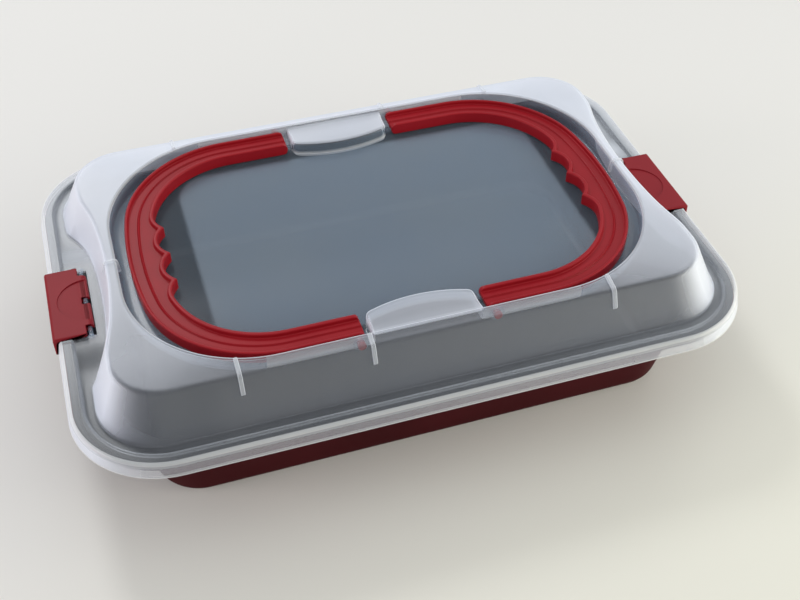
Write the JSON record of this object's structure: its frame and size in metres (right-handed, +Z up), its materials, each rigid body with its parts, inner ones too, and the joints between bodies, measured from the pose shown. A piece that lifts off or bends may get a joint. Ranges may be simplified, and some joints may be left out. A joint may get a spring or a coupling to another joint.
{
  "type": "baking pan with lid",
  "caption": "Rectangular baking pan with a domed carrier lid, folding scalloped lift handles and snap latches at the short sides.",
  "frame": {"origin": "middle of the pan's bottom, on the surface that the pan stands on", "axes": "+X along the pan's length to the right latch, +Y across it to the rear, +Z up"},
  "size_m": [0.423, 0.29, 0.1005],
  "materials": {
    "pan_coating": "satin non-stick coat, dark red",
    "lid_plastic": "translucent, lightly frosted",
    "handle_plastic": "fine satin, deep red",
    "latch_plastic": "fine satin, deep red"
  },
  "bodies": {
    "pan": {"baking_pan": "pan_coating"},
    "lid": {"lid": "lid_plastic"},
    "handle_left": {"handle_left": "handle_plastic"},
    "handle_right": {"handle_right": "handle_plastic"},
    "latch_left": {"latch_left": "latch_plastic"},
    "latch_right": {"latch_right": "latch_plastic"}
  },
  "joints": [
    {"name": "lid_lift", "type": "slide", "parent": "pan", "child": "lid", "axis": [0, 0, 1], "range_m": [0, 0.06]},
    {"name": "handle_right_fold", "type": "hinge", "parent": "lid", "child": "handle_right", "pos_m": [0.0415, 0, 0.09315], "axis": [0, -1, 0], "range_deg": [0, 108]},
    {"name": "handle_left_fold", "type": "hinge", "parent": "lid", "child": "handle_left", "pos_m": [-0.0415, 0, 0.09315], "axis": [0, 1, 0], "range_deg": [0, 108]},
    {"name": "latch_right_flip", "type": "hinge", "parent": "lid", "child": "latch_right", "pos_m": [0.1888, 0, 0.0704], "axis": [0, -1, 0], "range_deg": [0, 105]},
    {"name": "latch_left_flip", "type": "hinge", "parent": "lid", "child": "latch_left", "pos_m": [-0.1888, 0, 0.0704], "axis": [0, 1, 0], "range_deg": [0, 105]}
  ]
}
